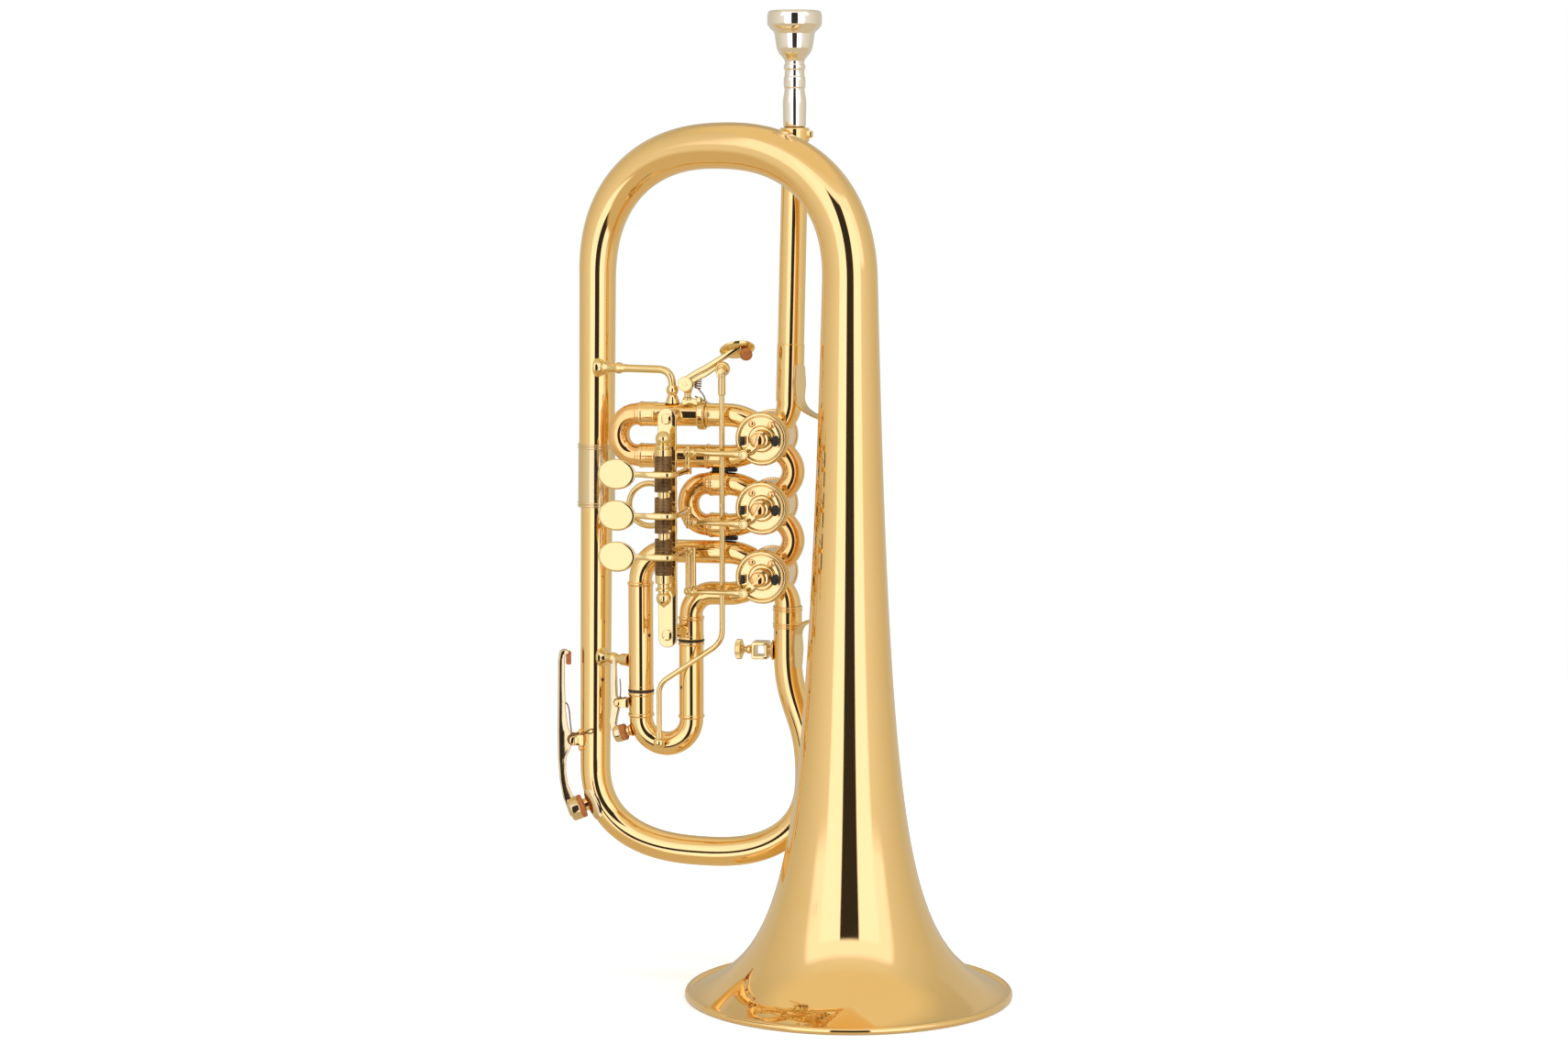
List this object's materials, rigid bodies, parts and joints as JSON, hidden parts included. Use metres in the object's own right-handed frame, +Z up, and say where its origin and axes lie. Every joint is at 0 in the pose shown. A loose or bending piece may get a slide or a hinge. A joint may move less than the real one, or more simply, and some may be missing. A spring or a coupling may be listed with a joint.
{
  "type": "flugelhorn",
  "caption": "Rotary-valve flugelhorn standing on its bell, with finger levers, tuning slides, a thumb trigger, water keys, a lyre socket and a cup mouthpiece.",
  "frame": {"origin": "bottom centre of the bounding box, on the plane the bell rim stands on", "axes": "+Z up along the bell axis, -Y towards the front of the valves, +X towards the bell"},
  "size_m": [0.2382, 0.16, 0.4786],
  "materials": {
    "lacquered_brass": "polished and clear lacquered",
    "gold_brass": "polished and clear lacquered, redder alloy",
    "nickel_silver": "polished nickel silver",
    "silver_plate": "polished silver plate",
    "spring_steel": "bronzed spring wire"
  },
  "bodies": {
    "horn": {"bell": "lacquered_brass", "top_bow": "lacquered_brass", "bottom_bow": "lacquered_brass", "exit_tube": "lacquered_brass", "outlet_elbow": "lacquered_brass", "leadpipe": "lacquered_brass", "inlet_elbow": "lacquered_brass", "mouthpiece_receiver": "lacquered_brass", "slide_1_upper_sleeve": "lacquered_brass", "slide_1_lower_sleeve": "lacquered_brass", "slide_2_upper_sleeve": "lacquered_brass", "slide_2_lower_sleeve": "lacquered_brass", "slide_3_left_sleeve": "lacquered_brass", "slide_3_right_leg": "lacquered_brass", "lever_bracket": "lacquered_brass", "lever_axle": "lacquered_brass", "finger_ring": "lacquered_brass", "trigger_post": "lacquered_brass", "water_key_saddle": "lacquered_brass", "upper_stay": "lacquered_brass", "lower_stay": "lacquered_brass", "lyre_holder": "lacquered_brass", "valve_casing_1": "lacquered_brass", "front_cap_1": "lacquered_brass", "back_cap_1": "lacquered_brass", "lever_spring_1": "spring_steel", "valve_casing_2": "lacquered_brass", "front_cap_2": "lacquered_brass", "back_cap_2": "lacquered_brass", "lever_spring_2": "spring_steel", "valve_casing_3": "lacquered_brass", "front_cap_3": "lacquered_brass", "back_cap_3": "lacquered_brass", "lever_spring_3": "spring_steel", "knuckle_1_2": "gold_brass", "knuckle_2_3": "gold_brass", "main_ferrule": "nickel_silver", "upper_brace": "nickel_silver", "lower_brace": "nickel_silver"},
    "mouthpiece": {"mouthpiece": "silver_plate"},
    "slide_1": {"slide_1_crook": "gold_brass"},
    "slide_2": {"slide_2_crook": "gold_brass"},
    "slide_3": {"slide_3_bow": "lacquered_brass", "trigger_rod": "lacquered_brass"},
    "trigger": {"trigger_lever": "lacquered_brass"},
    "main_water_key": {"main_water_key": "nickel_silver"},
    "slide_water_key": {"slide_water_key": "nickel_silver"},
    "lyre_screw": {"lyre_screw": "lacquered_brass"},
    "rotor_1": {"rotor_1": "lacquered_brass", "stop_arm_1": "lacquered_brass"},
    "lever_1": {"lever_1": "lacquered_brass"},
    "link_1": {"link_1": "lacquered_brass"},
    "rotor_2": {"rotor_2": "lacquered_brass", "stop_arm_2": "lacquered_brass"},
    "lever_2": {"lever_2": "lacquered_brass"},
    "link_2": {"link_2": "lacquered_brass"},
    "rotor_3": {"rotor_3": "lacquered_brass", "stop_arm_3": "lacquered_brass"},
    "lever_3": {"lever_3": "lacquered_brass"},
    "link_3": {"link_3": "lacquered_brass"}
  },
  "joints": [
    {"name": "mouthpiece_pull", "type": "slide", "parent": "horn", "child": "mouthpiece", "axis": [0, 0, 1], "range_m": [0, 0.018]},
    {"name": "slide_1_pull", "type": "slide", "parent": "horn", "child": "slide_1", "axis": [-1, 0, 0], "range_m": [0, 0.025]},
    {"name": "slide_2_pull", "type": "slide", "parent": "horn", "child": "slide_2", "axis": [-1, 0, 0], "range_m": [0, 0.006]},
    {"name": "slide_3_pull", "type": "slide", "parent": "horn", "child": "slide_3", "axis": [0, 0, -1], "range_m": [0, 0.013], "stiffness_N_per_m": 150, "springref_m": -0.01},
    {"name": "trigger_turn", "type": "hinge", "parent": "horn", "child": "trigger", "pos_m": [-0.04664, 0.0215, 0.2968], "axis": [0, 1, 0], "range_deg": [0, 37.2]},
    {"name": "rotor_1_turn", "type": "hinge", "parent": "horn", "child": "rotor_1", "pos_m": [-0.00684, 0.0285, 0.271], "axis": [0, -1, 0], "range_deg": [0, 90], "stiffness_Nm_per_rad": 0.02, "springref_deg": -34.38},
    {"name": "lever_1_press", "type": "hinge", "parent": "horn", "child": "lever_1", "pos_m": [-0.04924, -0.0165, 0.2556], "axis": [0, 0, -1], "range_deg": [0, 40]},
    {"name": "link_1_swing", "type": "hinge", "parent": "lever_1", "child": "link_1", "pos_m": [-0.04274, 0.0085, 0.2556], "axis": [0, 0, 1], "range_deg": [0, 59]},
    {"name": "rotor_2_turn", "type": "hinge", "parent": "horn", "child": "rotor_2", "pos_m": [-0.00684, 0.0285, 0.237], "axis": [0, -1, 0], "range_deg": [0, 90], "stiffness_Nm_per_rad": 0.02, "springref_deg": -34.38},
    {"name": "lever_2_press", "type": "hinge", "parent": "horn", "child": "lever_2", "pos_m": [-0.04924, -0.0165, 0.2356], "axis": [0, 0, -1], "range_deg": [0, 40]},
    {"name": "link_2_swing", "type": "hinge", "parent": "lever_2", "child": "link_2", "pos_m": [-0.04274, 0.0085, 0.2356], "axis": [0, 0, 1], "range_deg": [0, 59]},
    {"name": "rotor_3_turn", "type": "hinge", "parent": "horn", "child": "rotor_3", "pos_m": [-0.00684, 0.0285, 0.203], "axis": [0, -1, 0], "range_deg": [0, 90], "stiffness_Nm_per_rad": 0.02, "springref_deg": -34.38},
    {"name": "lever_3_press", "type": "hinge", "parent": "horn", "child": "lever_3", "pos_m": [-0.04924, -0.0165, 0.2156], "axis": [0, 0, -1], "range_deg": [0, 40]},
    {"name": "link_3_swing", "type": "hinge", "parent": "lever_3", "child": "link_3", "pos_m": [-0.04274, 0.0085, 0.2156], "axis": [0, 0, 1], "range_deg": [0, 59]},
    {"name": "main_water_key_turn", "type": "hinge", "parent": "horn", "child": "main_water_key", "pos_m": [-0.10982, 0.04057, 0.115], "axis": [-0.342, 0.9397, 0], "range_deg": [0, 6.5], "stiffness_Nm_per_rad": 0.02, "springref_deg": -20.05},
    {"name": "slide_water_key_turn", "type": "hinge", "parent": "slide_3", "child": "slide_water_key", "pos_m": [-0.08254, 0.027, 0.1368], "axis": [0, 1, 0], "range_deg": [0, 11], "stiffness_Nm_per_rad": 0.01, "springref_deg": -20.05},
    {"name": "lyre_screw_turn", "type": "hinge", "parent": "horn", "child": "lyre_screw", "pos_m": [-0.01894, 0.0285, 0.165], "axis": [1, 0, 0], "continuous": true}
  ],
  "couplings": [
    {"joint": "trigger_turn", "follows": "slide_3_pull", "rad_per_m": 49.33},
    {"joint": "lever_1_press", "follows": "rotor_1_turn", "ratio": 0.43333},
    {"joint": "link_1_swing", "follows": "rotor_1_turn", "ratio": 0.64522},
    {"joint": "lever_2_press", "follows": "rotor_2_turn", "ratio": 0.43333},
    {"joint": "link_2_swing", "follows": "rotor_2_turn", "ratio": 0.64522},
    {"joint": "lever_3_press", "follows": "rotor_3_turn", "ratio": 0.43333},
    {"joint": "link_3_swing", "follows": "rotor_3_turn", "ratio": 0.64522}
  ]
}
